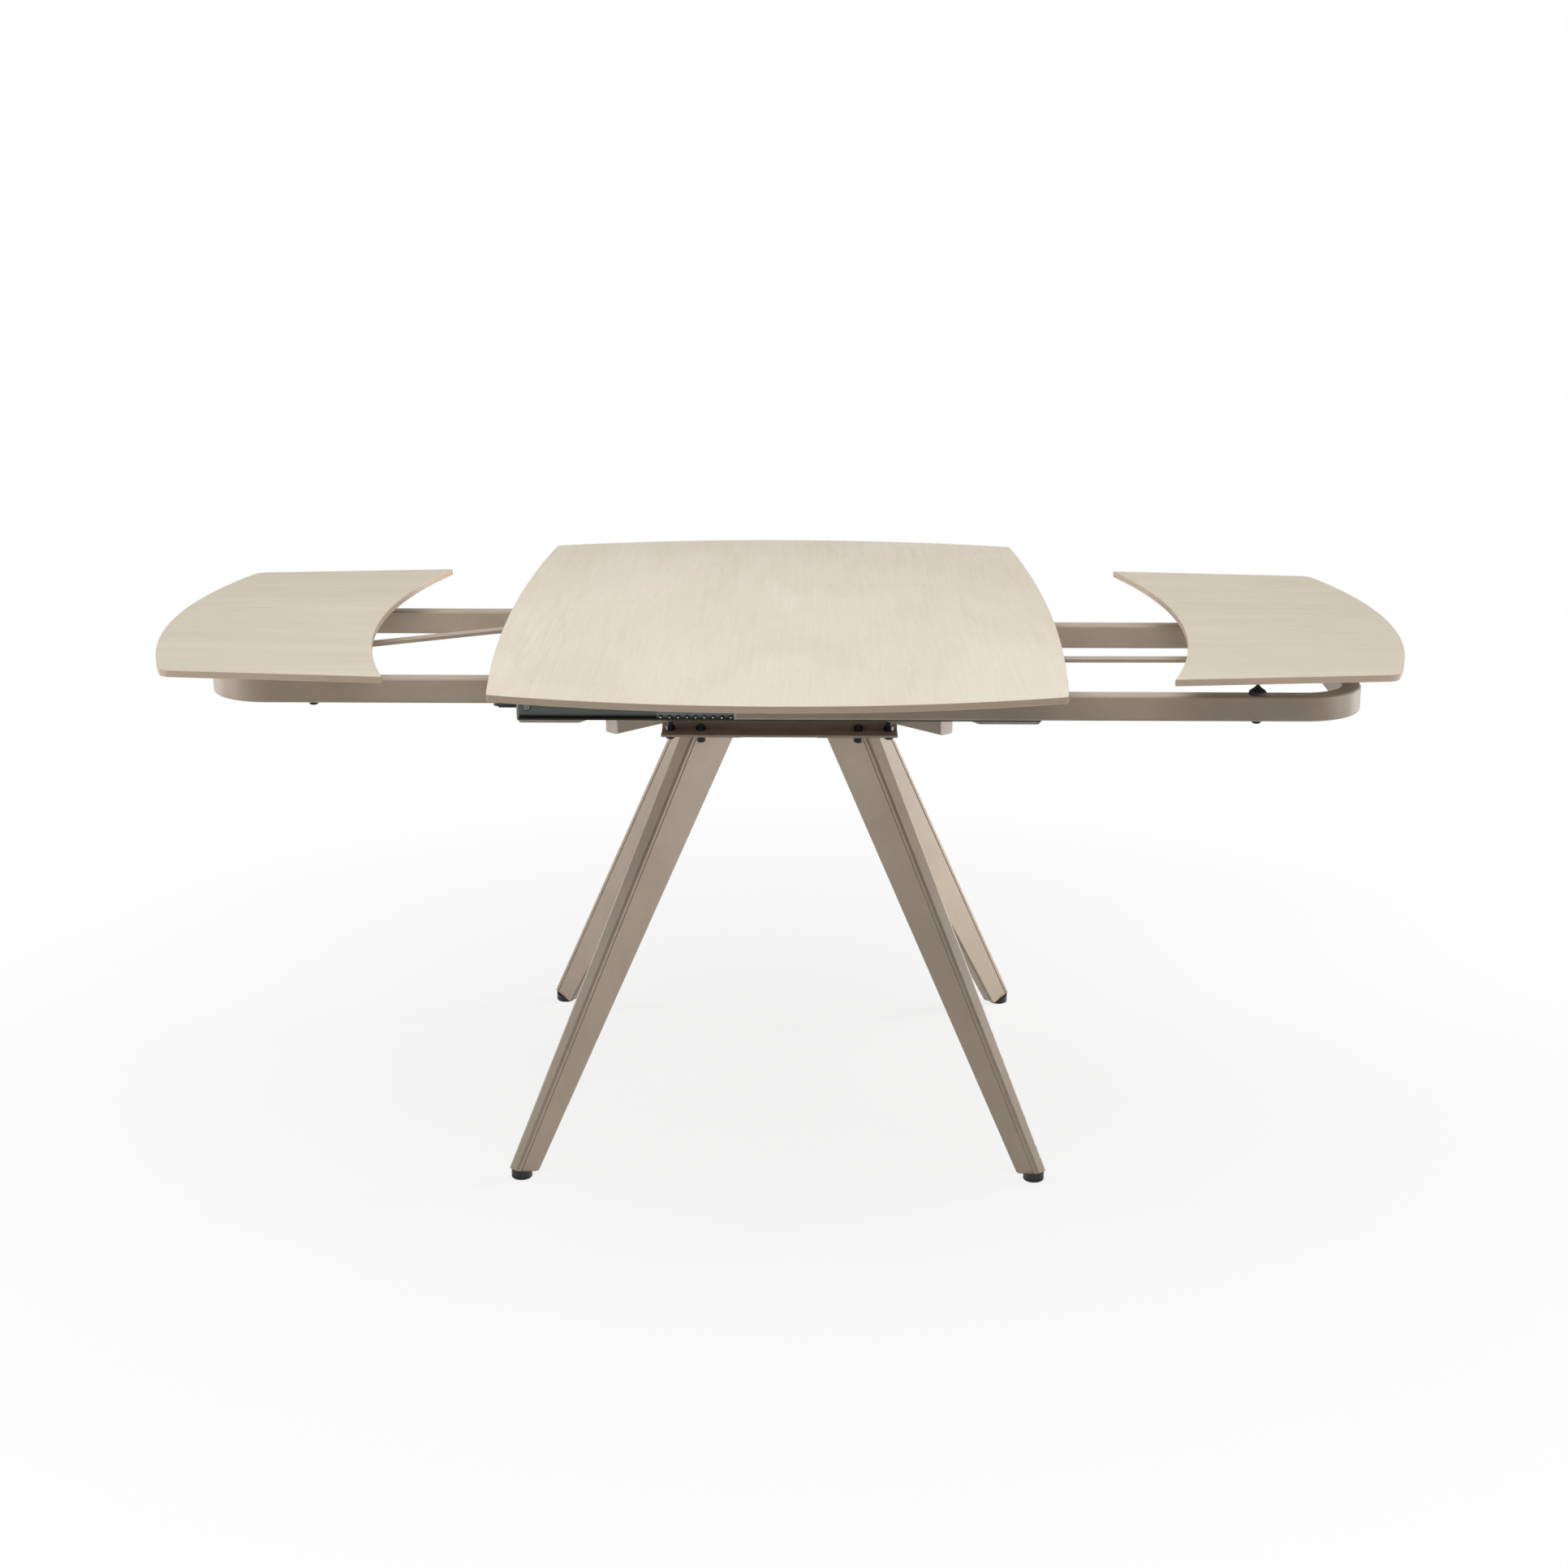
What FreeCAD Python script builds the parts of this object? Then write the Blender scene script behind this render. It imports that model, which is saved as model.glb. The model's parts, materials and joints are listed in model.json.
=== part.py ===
import FreeCAD, Part
import math
import os
import types

import Sketcher
from FreeCAD import Placement, Rotation, Vector

# Extending dining table with a turning top. The frame stands at the middle of the floor under the table:
# X runs along the two leaves, -Y faces the viewer and Z is up. The table is drawn with its leaves pulled
# out and its top a quarter turn across them. The left leaf and its frame are the right ones turned half
# round, so every right-hand piece is drawn in place and every left-hand piece is the same one turned.
SIZES = {
    # boards
    "top_height": 760,
    "board_thickness": 10,
    "top_half_width": 384,
    "top_half_length": 535,
    "top_side_bulge": 22.6,
    "top_end_bulge": 58,
    "top_corner_radius": 8,
    "board_edge_round": 1.2,
    "leaf_drop": 12,
    "leaf_tip_reach": 544,
    "leaf_tip_half_width": 384,
    "leaf_end_reach": 858,
    "leaf_end_half_width": 350,
    "leaf_end_bulge": 57.7,
    "leaf_corner_radius": 22,
    # sliding frames of bent tube
    "tube_width": 28,
    "tube_height": 37,
    "tube_wall": 1.5,
    "tube_edge_radius": 4,
    "frame_width": 494,
    "frame_shift": 45,
    "frame_lift": 5.5,
    "frame_end_reach": 836,
    "frame_start": 60,
    "frame_bend_radius": 78,
    "plug_flange": 3,
    "plug_depth": 18,
    "rail_stop_reach": 405,
    "rail_stop_radius": 10,
    "rail_stop_height": 5,
    # cone supports between the frames and the leaves
    "support_reach": 676,
    "support_spread": 110,
    "support_base_radius": 12.5,
    "support_base_height": 3,
    "support_cone_height": 16,
    "support_stem_radius": 4.5,
    "support_cap_radius": 11,
    "support_cap_height": 2.5,
    "support_bore_depth": 12,
    "support_bolt_radius": 3,
    "support_head_radius": 7,
    "support_head_height": 5,
    "support_head_bevel": 2,
    # ball slides
    "slide_height": 45,
    "slide_depth": 12.7,
    "slide_wall": 1.2,
    "slide_flange": 9,
    "slide_lip": 1.4,
    "slide_half_length": 372,
    "slide_drop": 5,
    "slide_stop_inset": 4,
    "slide_stop_length": 9,
    "slide_stop_height": 9,
    "slide_stop_depth": 2.3,
    "runner_height": 34,
    "runner_flange": 8.7,
    "runner_length": 465,
    "cage_height": 39.2,
    "cage_flange": 3.6,
    "cage_wall": 1,
    "cage_start": 175,
    "cage_length": 250,
    # fixed beams that carry the slides
    "beam_height": 44,
    "beam_wall": 2,
    "beam_edge_radius": 3,
    "shoe_length": 103,
    "shoe_drop": 6.3,
    "shoe_taper": 17,
    "shoe_end": 3,
    "shoe_corner": 5,
    # diagonal arms under the beams
    "arm_width": 24,
    "arm_height": 24,
    "arm_wall": 2,
    "arm_edge_radius": 3,
    "arm_reach": 338,
    "arm_cap": 2,
    "arm_cap_depth": 14,
    # two angle bars under the arms
    "channel_half_length": 172,
    "channel_front": 195,
    "channel_depth": 40,
    "channel_height": 17.5,
    "channel_wall": 3,
    "channel_bolt_offset": 165,
    "arm_bolt_reach": 160,
    "leg_bolt_reach": 115,
    "bolt_radius": 4,
    "bolt_head_radius": 7,
    "bolt_head_height": 8,
    "bolt_nut_radius": 6.9,
    "bolt_nut_height": 6.5,
    "bolt_head_bevel": 1.5,
    "bolt_tail": 2,
    "bolt_socket_radius": 3.6,
    "bolt_socket_depth": 4,
    "washer_radius": 10,
    "washer_height": 1.6,
    # legs
    "leg_plate_thickness": 5,
    "leg_plate_inner": 55,
    "leg_plate_reach": 147,
    "leg_plate_front": 178,
    "leg_head_offset": 143.2,
    "leg_head_width": 95,
    "leg_head_thickness": 28,
    "leg_floor_offset": 526.5,
    "leg_floor_width": 48.5,
    "leg_floor_thickness": 19.7,
    "leg_edge_radius": 4,
    "leg_wall": 2,
    "leg_plug_height": 48,
    "leg_heel_radius": 12,
    "leg_seam_offset": 8,
    "leg_seam_width": 2.5,
    "leg_seam_depth": 1.2,
    # feet
    "foot_offset": 524.5,
    "foot_radius": 15,
    "foot_height": 11.5,
    "foot_slope": 0.3,
    "foot_edge": 3,
    "foot_groove_height": 4.2,
    "foot_groove_width": 1.4,
    "foot_groove_depth": 0.8,
    # turntable in the middle
    "pedestal_base_radius": 70,
    "pedestal_tube_radius": 45,
    "pedestal_wall": 3,
    "pedestal_flange": 5,
    "pedestal_head_radius": 100,
    "pedestal_height": 56,
    "race_inner_radius": 72,
    "race_outer_radius": 98,
    "race_gap": 5,
    "ball_circle_radius": 85,
    "ball_radius": 4,
    "ball_count": 12,
    "upper_race_height": 14.5,
    "lower_race_height": 12.5,
    "cage_ring_height": 3.6,
    "cage_ring_inner": 76,
    "cage_ring_outer": 94,
    # crank under the top and the two links that it pushes
    "crank_plate_thickness": 6,
    "crank_disc_radius": 104,
    "crank_arm_width": 36,
    "crank_pin_offset": 232,
    "crank_pin_radius": 6,
    "crank_pin_length": 17.7,
    "crank_collar_radius": 10,
    "crank_collar_height": 3,
    "link_pivot_inset": 15,
    "link_width": 22,
    "link_thickness": 5,
    "link_outer_sink": 10,
    "link_eye_length": 18,
    "link_pin_radius": 5,
    "link_pin_head_radius": 9,
    "link_pin_head_height": 4,
    "link_pin_tail": 3,
    "bracket_half_width": 20,
    "bracket_overhang": 22,
    "bracket_thickness": 5,
    "bracket_leg_thickness": 3,
    "bracket_leg_height": 16,
    "screw_radius": 2.5,
    "screw_head_radius": 5,
    "screw_head_height": 2.5,
    "screw_inset": 30,
    # nylon glides that bear the top beside the turntable
    "glide_reach": 130,
    "glide_foot_radius": 15,
    "glide_foot_height": 4,
    "glide_post_radius": 9,
    "glide_cap_radius": 12,
    "glide_cap_height": 6,
    # clearances
    "running_gap": 0.3,
    "hole_gap": 0.3,
    "pin_gap": 0.08,
    "cut_margin": 1,
}

HALF_TURN = 180
HEXAGON = 6
QUARTER_TURN = HALF_TURN / 2
EIGHTH_TURN = HALF_TURN / 4
TOLERANCE = 0.01
SIDES = {"right": 0, "left": HALF_TURN}
LEGS = {
    "rear_right": EIGHTH_TURN,
    "rear_left": EIGHTH_TURN + QUARTER_TURN,
    "front_left": EIGHTH_TURN + HALF_TURN,
    "front_right": EIGHTH_TURN - QUARTER_TURN,
}

doc = FreeCAD.newDocument("extending_table")
nodes = {}


# A size is a number together with the sheet expression that gives it, so sums of sizes can be bound.
class Size:
    def __init__(self, value, text):
        self.value = value
        self.text = text

    def __add__(self, other):
        other = size_of(other)
        return Size(self.value + other.value, f"({self.text} + {other.text})")

    def __radd__(self, other):
        return size_of(other) + self

    def __neg__(self):
        return Size(-self.value, f"(-1 * {self.text})")

    def __sub__(self, other):
        other = size_of(other)
        return Size(self.value - other.value, f"({self.text} - {other.text})")

    def __rsub__(self, other):
        return size_of(other) - self

    def __mul__(self, other):
        other = size_of(other)
        return Size(self.value * other.value, f"({self.text} * {other.text})")

    def __rmul__(self, other):
        return size_of(other) * self

    def __truediv__(self, other):
        other = size_of(other)
        return Size(self.value / other.value, f"({self.text} / {other.text})")


def size_of(number):
    if isinstance(number, Size):
        return number
    return Size(float(number), f"({float(number)})")


def root(size):
    return Size(math.sqrt(size.value), f"sqrt({size.text})")


def fill_sheet():
    sheet = doc.addObject("Spreadsheet::Sheet", "dims")
    for row, (name, number) in enumerate(SIZES.items(), start=1):
        sheet.set(f"A{row}", name.replace("_", " "))
        sheet.set(f"B{row}", str(number))
        sheet.setAlias(f"B{row}", name)
    doc.recompute()
    read = {name: Size(float(sheet.get(name)), f"dims.{name}") for name in SIZES}
    return types.SimpleNamespace(**read)


def bind(target, path, size):
    target.setExpression(path, size_of(size).text)


# Sketch helpers. A corner is (x, y), or (x, y, radius, turn) where an arc leads on to the next corner:
# turn is 1 for a counter-clockwise arc and -1 for a clockwise one.
def arc_between(start, end, radius, turn):
    chord = end - start
    middle = (start + end) / 2
    height = math.sqrt(max(radius**2 - (chord.Length / 2) ** 2, 0))
    across = Vector(-chord.y, chord.x, 0).normalize()
    centre = middle + across * (height * turn)
    first, second = (start, end) if turn > 0 else (end, start)
    angles = [math.atan2(p.y - centre.y, p.x - centre.x) for p in (first, second)]
    if angles[1] < angles[0]:
        angles[1] += 2 * math.pi
    return Part.ArcOfCircle(Part.Circle(centre, Vector(0, 0, 1), radius), *angles)


def pin_corner(sketch, edge, end, corner):
    axes = (("DistanceX", -2), ("DistanceY", -1))
    for (kind, axis), coordinate in zip(axes, corner):
        place = size_of(coordinate)
        if place.value == 0:
            sketch.addConstraint(Sketcher.Constraint("PointOnObject", edge, end, axis))
            continue
        index = sketch.addConstraint(Sketcher.Constraint(kind, edge, end, place.value))
        bind(sketch, f"Constraints[{index}]", place)


def add_outline(sketch, corners, closed=True):
    offset = sketch.GeometryCount
    count = len(corners)
    edges = count if closed else count - 1
    ends = []
    for i in range(edges):
        here = corners[i]
        there = corners[(i + 1) % count]
        start = Vector(size_of(here[0]).value, size_of(here[1]).value, 0)
        end = Vector(size_of(there[0]).value, size_of(there[1]).value, 0)
        if len(here) == 2:
            sketch.addGeometry(Part.LineSegment(start, end), False)
            ends.append((1, 2))
            continue
        radius, turn = size_of(here[2]), here[3]
        sketch.addGeometry(arc_between(start, end, radius.value, turn), False)
        ends.append((1, 2) if turn > 0 else (2, 1))
    for i in range(edges if closed else edges - 1):
        following = (i + 1) % edges
        joint = (offset + i, ends[i][1], offset + following, ends[following][0])
        sketch.addConstraint(Sketcher.Constraint("Coincident", *joint))
    for i in range(edges):
        pin_corner(sketch, offset + i, ends[i][0], corners[i][:2])
        if len(corners[i]) > 2:
            radius = size_of(corners[i][2])
            index = sketch.addConstraint(Sketcher.Constraint("Radius", offset + i, radius.value))
            bind(sketch, f"Constraints[{index}]", radius)
    if not closed:
        pin_corner(sketch, offset + edges - 1, ends[-1][1], corners[-1][:2])


def draw(body, name, plane, outlines, offset=0, closed=True):
    sketch = body.newObject("Sketcher::SketchObject", name)
    support = next(f for f in body.Origin.OriginFeatures if f.Role == plane)
    sketch.AttachmentSupport = [(support, "")]
    sketch.MapMode = "FlatFace"
    bind(sketch, "AttachmentOffset.Base.z", offset)
    for corners in outlines:
        add_outline(sketch, corners, closed)
    return sketch


def rounded_rectangle(x_low, x_high, y_low, y_high, radius):
    return [
        (x_low + radius, y_low),
        (x_high - radius, y_low, radius, 1),
        (x_high, y_low + radius),
        (x_high, y_high - radius, radius, 1),
        (x_high - radius, y_high),
        (x_low + radius, y_high, radius, 1),
        (x_low, y_high - radius),
        (x_low, y_low + radius, radius, 1),
    ]


# A rounded rectangle about a centre, drawn in by shy on all sides
def tube_outline(x, y, width, height, radius, shy):
    half_width = width / 2 - shy
    half_height = height / 2 - shy
    return rounded_rectangle(x - half_width, x + half_width, y - half_height, y + half_height, radius - shy)


def tube_section(x, y, width, height, radius, wall):
    return [tube_outline(x, y, width, height, radius, shy) for shy in (size_of(0), wall)]


# A channel section: a web at back and two flanges that reach to front, with lips turned in if lip is given
def channel_outline(back, front, middle, height, wall, lip=None):
    inward = 1 if size_of(front).value > size_of(back).value else -1
    web = back + wall * inward
    low = middle - height / 2
    high = middle + height / 2
    lower = [(front, low + wall)]
    upper = [(front, high - wall)]
    if lip is not None:
        lip_back = front - wall * inward
        lower = [(front, low + wall + lip), (lip_back, low + wall + lip), (lip_back, low + wall)]
        upper = [(lip_back, high - wall), (lip_back, high - wall - lip), (front, high - wall - lip)]
    inside = [(web, low + wall), (web, high - wall)]
    return [(back, low), (front, low)] + lower + inside + upper + [(front, high), (back, high)]


def crown_radius(half_chord, bulge):
    return (half_chord * half_chord + bulge * bulge) / (bulge * 2)


# Solid helpers
def pad_body(name, plane, outlines, start, length):
    body = doc.addObject("PartDesign::Body", name)
    sketch = draw(body, name + "_outline", plane, outlines, start)
    pad = body.newObject("PartDesign::Pad", name + "_pad")
    pad.Profile = sketch
    bind(pad, "Length", length)
    return body


def cross_pocket(body, name, outlines):
    pocket = body.newObject("PartDesign::Pocket", name)
    pocket.Profile = draw(body, name + "_outline", "XZ_Plane", outlines)
    pocket.Type = "ThroughAll"
    pocket.Midplane = True
    return pocket


def dress(body, kind, name, size_name, amount, chosen):
    doc.recompute()
    base = body.Tip
    edges = [f"Edge{i}" for i, edge in enumerate(base.Shape.Edges, start=1) if chosen(edge)]
    feature = body.newObject(f"PartDesign::{kind}", name)
    feature.Base = (base, edges)
    bind(feature, size_name, amount)


def spin(name, outline, x=0, y=0):
    body = doc.addObject("PartDesign::Body", name)
    sketch = draw(body, name + "_outline", "XZ_Plane", [outline])
    turned = body.newObject("PartDesign::Revolution", name + "_spin")
    turned.Profile = sketch
    turned.ReferenceAxis = (sketch, ["V_Axis"])
    turned.Angle = 2 * HALF_TURN
    bind(body, "Placement.Base.x", x)
    bind(body, "Placement.Base.y", y)
    return body


def block(low, high):
    piece = doc.addObject("Part::Box", "block")
    for side, axis, a, b in zip(("Length", "Width", "Height"), "xyz", low, high):
        bind(piece, side, size_of(b) - a)
        bind(piece, f"Placement.Base.{axis}", a)
    return piece


def rod(radius, low, high, x=0, y=0):
    piece = doc.addObject("Part::Cylinder", "rod")
    bind(piece, "Radius", radius)
    bind(piece, "Height", size_of(high) - low)
    for axis, place in zip("xyz", (x, y, low)):
        bind(piece, f"Placement.Base.{axis}", place)
    return piece


def hexagon(radius, low, high, x, y):
    piece = doc.addObject("Part::Prism", "hexagon")
    piece.Polygon = HEXAGON
    bind(piece, "Circumradius", radius)
    bind(piece, "Height", high - low)
    for axis, place in zip("xyz", (x, y, low)):
        bind(piece, f"Placement.Base.{axis}", place)
    return piece


def fuse(*pieces):
    joined = doc.addObject("Part::MultiFuse", "fuse")
    joined.Shapes = list(pieces)
    return joined


def group(*pieces):
    gathered = doc.addObject("Part::Compound", "group")
    gathered.Links = list(pieces)
    return gathered


def cut(base, *tools):
    piece = doc.addObject("Part::Cut", "cut")
    piece.Base = base
    piece.Tool = tools[0] if len(tools) == 1 else fuse(*tools)
    return piece


def turned_by(piece, angle):
    piece.Placement = Placement(Vector(), Rotation(Vector(0, 0, 1), angle))
    return piece


def keep(name, piece, angle=0):
    if angle:
        turned_by(piece, angle)
    piece.Label = name
    nodes[name] = piece


d = fill_sheet()

# Heights and places worked out from the driving sizes, from the top downwards
top_under = d.top_height - d.board_thickness
crank_low = top_under - d.crank_plate_thickness
upper_race_low = crank_low - d.upper_race_height
ball_plane = upper_race_low - d.race_gap / 2
lower_race_top = ball_plane - d.race_gap / 2
pedestal_head = lower_race_top - d.lower_race_height
beam_low = pedestal_head - d.pedestal_height
beam_top = beam_low + d.beam_height
arm_low = beam_low - d.arm_height
channel_low = arm_low - d.channel_height
leg_head = channel_low - d.leg_plate_thickness
leaf_under = d.top_height - d.leaf_drop - d.board_thickness
frame_middle = beam_low + d.beam_height / 2 + d.frame_lift
frame_low = frame_middle - d.tube_height / 2
frame_high = frame_middle + d.tube_height / 2
slide_middle = frame_middle - d.slide_drop
near_rail = -d.frame_shift - d.frame_width / 2 + d.tube_width / 2
far_rail = -d.frame_shift + d.frame_width / 2 - d.tube_width / 2
end_bar = d.frame_end_reach - d.tube_width / 2
end_bar_inside = d.frame_end_reach - d.tube_width
beam_width = d.frame_shift * 2 - d.tube_width - d.slide_depth * 2
beam_centre = d.frame_width / 2 - d.tube_width / 2
crank_corner = d.crank_pin_offset / math.sqrt(2)
link_pivot = end_bar_inside - d.link_pivot_inset
link_outer_top = frame_high - d.link_outer_sink
link_inner_top = crank_low - d.crank_pin_length - d.running_gap
margin = d.cut_margin

# Support places on the right frame: one on each rail and two on the end bar
SUPPORTS = [
    (d.support_reach, near_rail),
    (d.support_reach, far_rail),
    (end_bar, -d.frame_shift - d.support_spread),
    (end_bar, -d.frame_shift + d.support_spread),
]


def upright(edge):
    return edge.BoundBox.ZLength > d.board_thickness.value / 2


def level_at(height):
    def chosen(edge):
        box = edge.BoundBox
        return box.ZLength < TOLERANCE and abs(box.ZMax - height.value) < TOLERANCE

    return chosen


def finish_board(body, name, low, corner_radius, corners):
    dress(body, "Fillet", name + "_corners", "Radius", corner_radius, corners)
    dress(body, "Fillet", name + "_brow", "Radius", d.board_edge_round, level_at(low + d.board_thickness))
    dress(body, "Chamfer", name + "_arris", "Size", d.board_edge_round, level_at(low))


# Turning top: a rectangle with all four edges bowed out
def make_top():
    side = crown_radius(d.top_half_length, d.top_side_bulge)
    end = crown_radius(d.top_half_width, d.top_end_bulge)
    outline = [
        (-d.top_half_width, -d.top_half_length, end, 1),
        (d.top_half_width, -d.top_half_length, side, 1),
        (d.top_half_width, d.top_half_length, end, 1),
        (-d.top_half_width, d.top_half_length, side, 1),
    ]
    body = pad_body("table_top", "XY_Plane", [outline], top_under, d.board_thickness)
    finish_board(body, "table_top", top_under, d.top_corner_radius, upright)
    keep("table_top", body)


# Leaf: hollowed on its inner edge to take the end of the top, bowed on its outer edge
def make_leaf(side, angle):
    hollow = crown_radius(d.leaf_tip_half_width, d.top_end_bulge)
    bow = crown_radius(d.leaf_end_half_width, d.leaf_end_bulge)
    outline = [
        (d.leaf_tip_reach, -d.leaf_tip_half_width),
        (d.leaf_end_reach, -d.leaf_end_half_width, bow, 1),
        (d.leaf_end_reach, d.leaf_end_half_width),
        (d.leaf_tip_reach, d.leaf_tip_half_width, hollow, -1),
    ]
    name = f"{side}_leaf"
    body = pad_body(name, "XY_Plane", [outline], leaf_under, d.board_thickness)

    def outer_corner(edge):
        return upright(edge) and edge.BoundBox.XMax > d.leaf_end_reach.value - TOLERANCE

    finish_board(body, name, leaf_under, d.leaf_corner_radius, outer_corner)
    keep(name, body, angle)


# Sliding frame: one length of rectangular tube bent into a U that opens towards the middle
def make_frame_tube(side, angle):
    name = f"{side}_frame_tube"
    body = doc.addObject("PartDesign::Body", name)
    bend = d.frame_bend_radius
    route = [
        (-d.frame_start, near_rail),
        (end_bar - bend, near_rail, bend, 1),
        (end_bar, near_rail + bend),
        (end_bar, far_rail - bend, bend, 1),
        (end_bar - bend, far_rail),
        (-d.frame_start, far_rail),
    ]
    section = tube_section(
        near_rail, frame_middle, d.tube_width, d.tube_height, d.tube_edge_radius, d.tube_wall
    )
    profile = draw(body, name + "_section", "YZ_Plane", section, -d.frame_start)
    path = draw(body, name + "_route", "XY_Plane", [route], frame_middle, closed=False)
    doc.recompute()
    pipe = body.newObject("PartDesign::AdditivePipe", name + "_pipe")
    pipe.Profile = profile
    pipe.Spine = (path, [f"Edge{i}" for i in range(1, len(route))])
    hole = d.support_bolt_radius + d.hole_gap
    holes = [rod(hole, frame_low - margin, frame_high + margin, x, y) for x, y in SUPPORTS]
    keep(name, cut(body, *holes), angle)


# Moulded plugs that close the two open ends of the bent tube
def make_tube_plugs(side, angle):
    shy = d.tube_wall + d.hole_gap
    plugs = []
    for rail in (near_rail, far_rail):
        face = tube_outline(rail, frame_middle, d.tube_width, d.tube_height, d.tube_edge_radius, size_of(0))
        neck = tube_outline(rail, frame_middle, d.tube_width, d.tube_height, d.tube_edge_radius, shy)
        flange = pad_body(
            f"{side}_plug_flange", "YZ_Plane", [face], -d.frame_start - d.plug_flange, d.plug_flange
        )
        stem = pad_body(f"{side}_plug_stem", "YZ_Plane", [neck], -d.frame_start, d.plug_depth)
        plugs.append(fuse(flange, stem))
    keep(f"{side}_tube_plugs", group(*plugs), angle)


# Black stop pad under the inner rail, just outside the beam's end
def make_rail_stops(side, angle):
    pad = rod(d.rail_stop_radius, frame_low - d.rail_stop_height, frame_low, d.rail_stop_reach, far_rail)
    keep(f"{side}_rail_stops", group(pad), angle)


# Cone supports that hold the leaf above its frame, and the bolts that come up through the tube
def make_supports(side, angle):
    bore = d.support_bolt_radius + d.hole_gap
    base_top = frame_high + d.support_base_height
    cone_top = base_top + d.support_cone_height
    cap_low = leaf_under - d.support_cap_height
    flare = d.support_cone_height * 2
    outline = [
        (bore, frame_high),
        (d.support_base_radius, frame_high),
        (d.support_base_radius, base_top, flare, -1),
        (d.support_stem_radius, cone_top),
        (d.support_stem_radius, cap_low),
        (d.support_cap_radius, cap_low),
        (d.support_cap_radius, leaf_under),
        (0, leaf_under),
        (0, frame_high + d.support_bore_depth),
        (bore, frame_high + d.support_bore_depth),
    ]
    cones = [spin(f"{side}_support", outline, x, y) for x, y in SUPPORTS]
    keep(f"{side}_leaf_supports", group(*cones), angle)
    head_low = frame_low - d.support_head_height
    shank_top = frame_high + d.support_bore_depth - d.hole_gap
    bolt = [
        (0, head_low),
        (d.support_head_radius - d.support_head_bevel, head_low),
        (d.support_head_radius, head_low + d.support_head_bevel),
        (d.support_head_radius, frame_low),
        (d.support_bolt_radius, frame_low),
        (d.support_bolt_radius, shank_top),
        (0, shank_top),
    ]
    bolts = [spin(f"{side}_support_bolt", bolt, x, y) for x, y in SUPPORTS]
    keep(f"{side}_support_bolts", group(*bolts), angle)


# Ball slides: a channel on the beam, a runner on the rail and a ball cage between the two. Both slides of
# a frame face the same way, so each is set out from the beam face that carries its channel.
SLIDE_FACES = {"outer": -beam_centre - beam_width / 2, "inner": beam_centre - beam_width / 2}


def slide_piece(name, face, back, front, height, wall, start, length, lip=None):
    outline = channel_outline(face - back, face - front, slide_middle, height, wall, lip)
    return pad_body(name, "YZ_Plane", [outline], start, length)


def make_slides(side, angle):
    runners = []
    cages = []
    for place, face in SLIDE_FACES.items():
        name = f"{side}_{place}_slide_channel"
        rail = slide_piece(
            name,
            face,
            size_of(0),
            d.slide_flange,
            d.slide_height,
            d.slide_wall,
            -d.slide_half_length,
            d.slide_half_length * 2,
            d.slide_lip,
        )
        stop_start = -d.slide_half_length + d.slide_stop_inset
        half_stop = d.slide_stop_height / 2
        stop = block(
            (stop_start, face - d.slide_wall - d.slide_stop_depth, slide_middle - half_stop),
            (stop_start + d.slide_stop_length, face - d.slide_wall / 2, slide_middle + half_stop),
        )
        keep(name, fuse(rail, stop), angle)
        runners.append(
            slide_piece(
                f"{side}_runner",
                face,
                d.slide_depth,
                d.slide_depth - d.runner_flange,
                d.runner_height,
                d.slide_wall,
                -d.frame_start,
                d.runner_length,
            )
        )
        cage_back = d.slide_wall + d.running_gap
        cages.append(
            slide_piece(
                f"{side}_cage",
                face,
                cage_back,
                cage_back + d.cage_flange,
                d.cage_height,
                d.cage_wall,
                -d.cage_start,
                d.cage_length,
            )
        )
    keep(f"{side}_slide_runners", group(*runners), angle)
    keep(f"{side}_slide_cages", group(*cages), angle)


# Bracket and pin that join the link to the middle of the frame's end bar
link_under = link_outer_top - d.link_thickness
bracket_top = link_under - d.running_gap


def make_link_bracket(side, angle):
    bracket_low = bracket_top - d.bracket_thickness
    tab = block(
        (link_pivot - d.bracket_overhang, -d.bracket_half_width, bracket_low),
        (end_bar_inside, d.bracket_half_width, bracket_top),
    )
    leg_back = end_bar_inside - d.bracket_leg_thickness
    leg = block(
        (leg_back, -d.bracket_half_width, bracket_top - d.bracket_leg_height),
        (end_bar_inside, d.bracket_half_width, bracket_top),
    )
    hole = rod(d.link_pin_radius + d.pin_gap, bracket_low - margin, bracket_top + margin, link_pivot)
    keep(f"{side}_link_bracket", cut(fuse(tab, leg), hole), angle)
    head_low = link_outer_top + d.running_gap
    head_high = head_low + d.link_pin_head_height
    tail = bracket_low - d.link_pin_tail
    outline = [
        (0, tail),
        (d.link_pin_head_radius, tail),
        (d.link_pin_head_radius, bracket_low),
        (d.link_pin_radius, bracket_low),
        (d.link_pin_radius, head_low),
        (d.link_pin_head_radius, head_low),
        (d.link_pin_head_radius, head_high),
        (0, head_high),
    ]
    pin = spin(f"{side}_link_pin_body", outline, link_pivot)
    keep(f"{side}_link_pin", group(pin), angle)


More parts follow.
